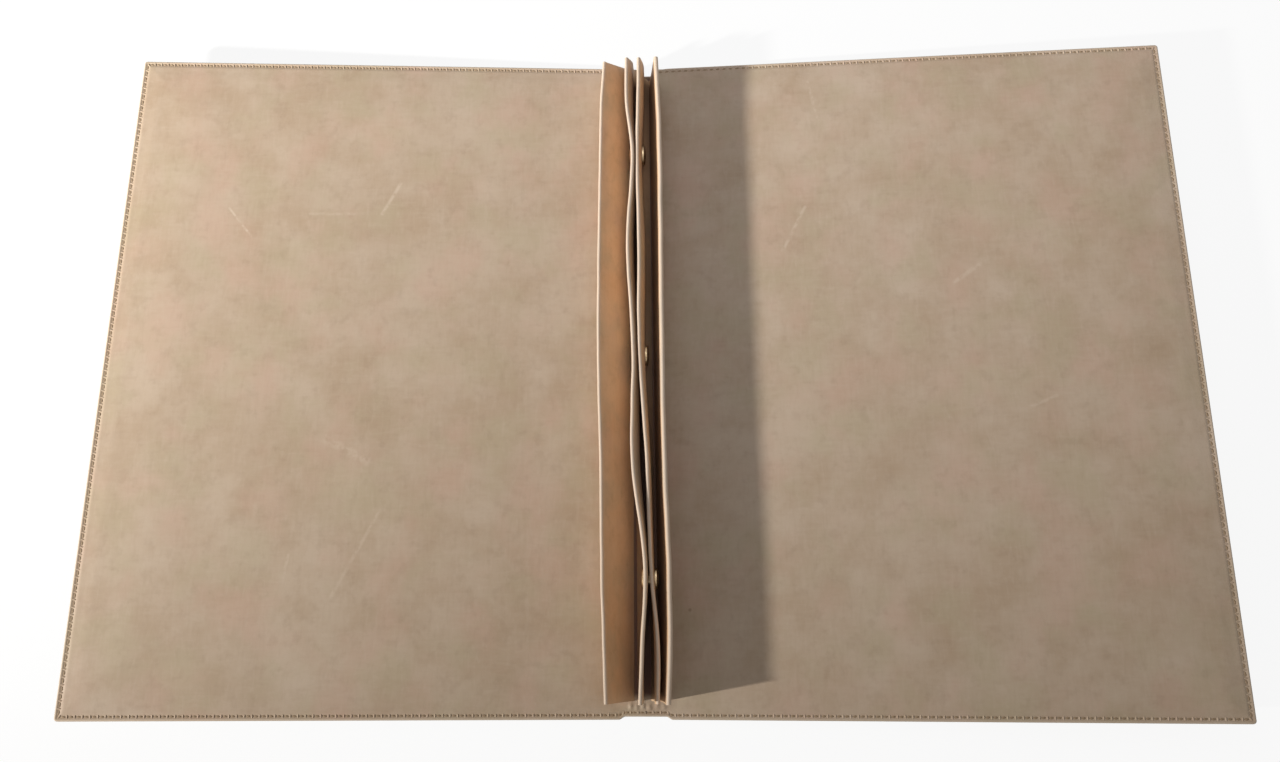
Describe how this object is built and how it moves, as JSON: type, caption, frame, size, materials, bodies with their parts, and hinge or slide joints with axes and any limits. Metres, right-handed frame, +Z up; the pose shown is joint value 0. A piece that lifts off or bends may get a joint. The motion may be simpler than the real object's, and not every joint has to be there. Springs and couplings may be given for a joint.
{
  "type": "menu cover",
  "caption": "Casemade leatherette menu cover lying open, with padded covers hinged on a narrow spine and standing binding strips clamped by screw posts.",
  "frame": {"origin": "middle of the spine, on the surface that the open cover lies on", "axes": "+X across the open cover towards the back cover's outer edge, +Y along the spine towards the far edge, +Z up, out of the inside faces"},
  "size_m": [0.5126, 0.321, 0.0269],
  "materials": {
    "outer_leatherette": "satin, mottled",
    "lining_leatherette": "satin, mottled with fine brushed streaks",
    "strip_leatherette": "satin",
    "greyboard": "matt pressed board",
    "thread": "matt twisted thread",
    "brass": "polished"
  },
  "bodies": {
    "spine": {"spine_outer_wrap": "outer_leatherette", "spine_board": "greyboard", "spine_lining": "lining_leatherette", "near_spine_stitching": "thread", "far_spine_stitching": "thread", "left_screw_flap": "strip_leatherette", "left_post_strip": "strip_leatherette", "right_post_strip": "strip_leatherette", "right_screw_flap": "strip_leatherette", "binding_post_1": "brass", "binding_post_2": "brass", "binding_post_3": "brass", "post_screw_1": "brass", "post_screw_2": "brass", "post_screw_3": "brass"},
    "front_cover": {"front_outer_wrap": "outer_leatherette", "front_board": "greyboard", "front_lining": "lining_leatherette", "front_edge_stitching": "thread"},
    "back_cover": {"back_outer_wrap": "outer_leatherette", "back_board": "greyboard", "back_lining": "lining_leatherette", "back_edge_stitching": "thread"}
  },
  "joints": [
    {"name": "front_hinge", "type": "hinge", "parent": "spine", "child": "front_cover", "pos_m": [-0.0114, 0, 0.00095], "axis": [0, 1, 0], "range_deg": [-3.3, 83.6], "deforming": ["left_screw_flap"]},
    {"name": "back_hinge", "type": "hinge", "parent": "spine", "child": "back_cover", "pos_m": [0.0114, 0, 0.00095], "axis": [0, -1, 0], "range_deg": [-3.3, 83.6], "deforming": ["right_screw_flap"]}
  ]
}
